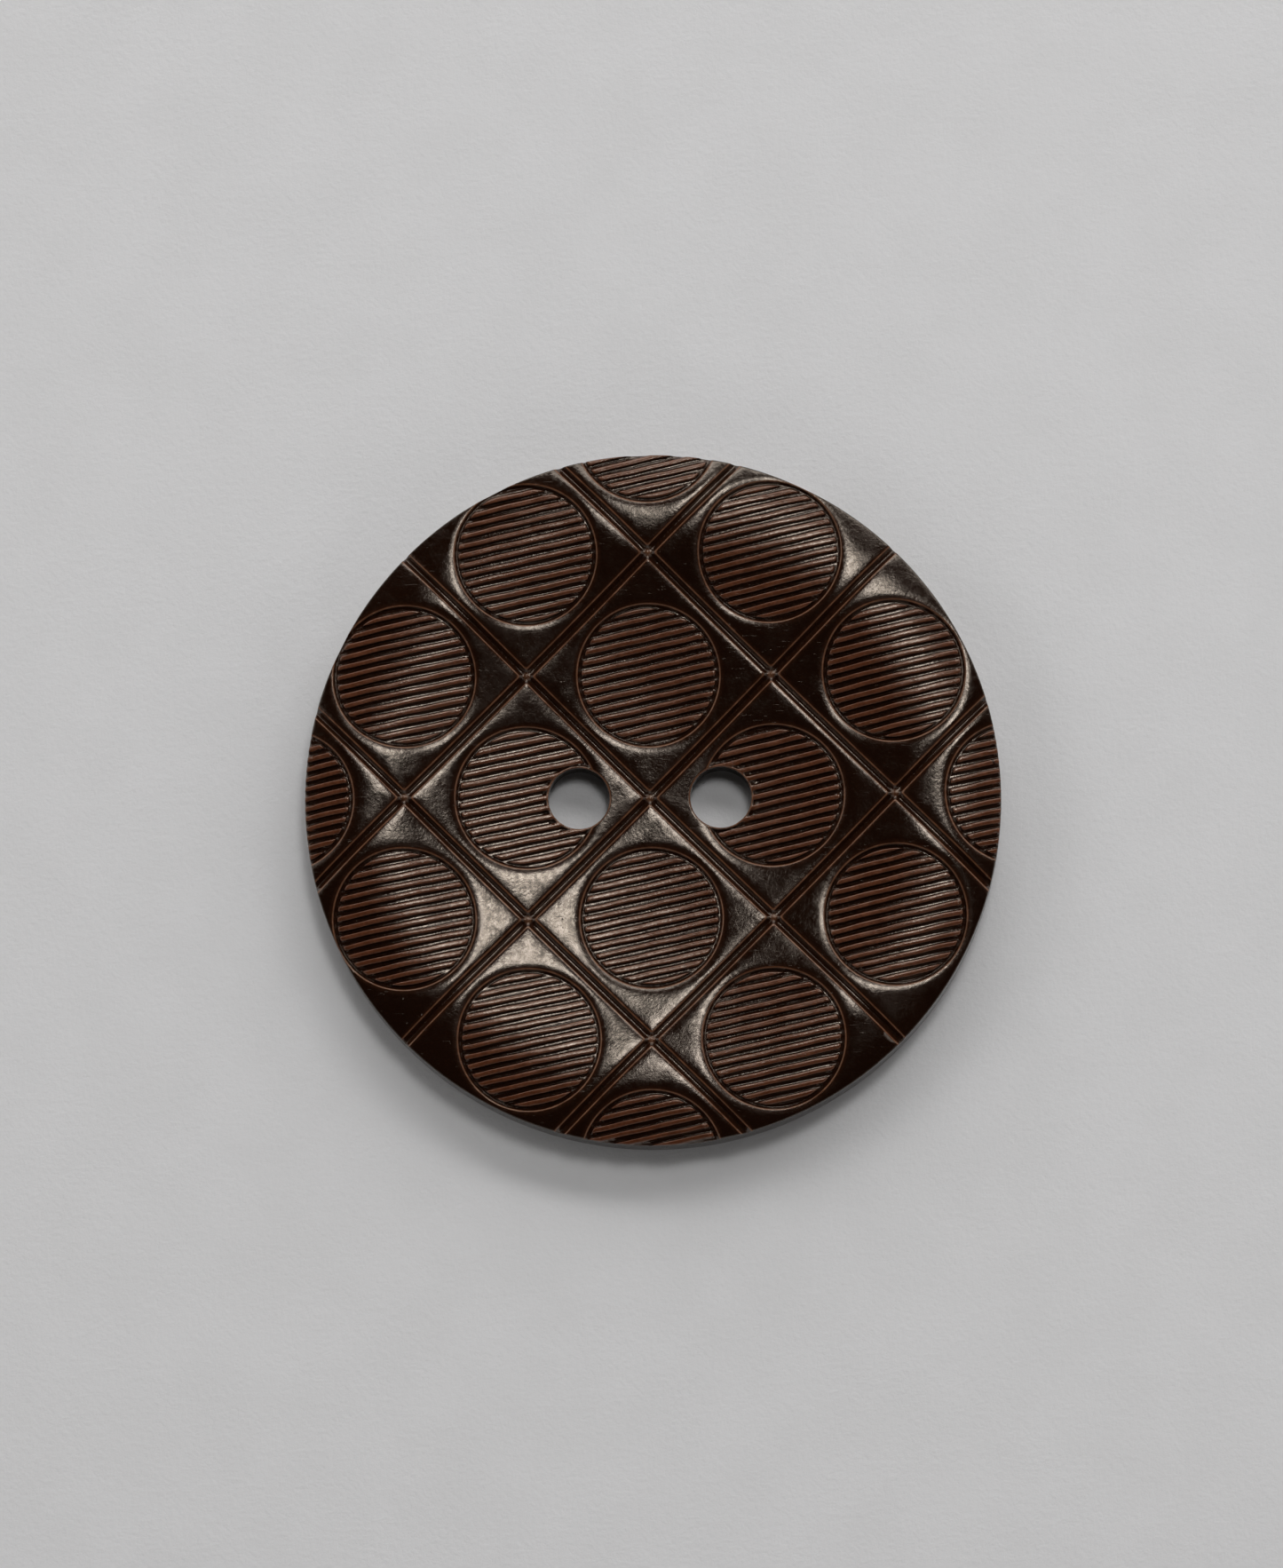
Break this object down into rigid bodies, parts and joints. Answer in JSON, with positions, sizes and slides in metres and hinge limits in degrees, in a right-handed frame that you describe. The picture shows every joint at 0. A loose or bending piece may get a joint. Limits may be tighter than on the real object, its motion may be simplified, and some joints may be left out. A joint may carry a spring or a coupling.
{
  "type": "sew-on coat button",
  "caption": "Round sew-on coat button with a dished face, thread holes, a diagonal groove lattice and a ribbed disc in each lattice square.",
  "frame": {"origin": "middle of the round outline, on the flat back", "axes": "+Z out of the patterned face, +X along the line through the two thread holes, +Y across it in the plane of the back"},
  "size_m": [0.034, 0.034, 0.0029],
  "materials": {
    "dark_brown_plastic": "polished dark brown moulded plastic, lighter brown where the pattern is not polished"
  },
  "bodies": {
    "root": {"button_disc": "dark_brown_plastic"}
  },
  "joints": []
}
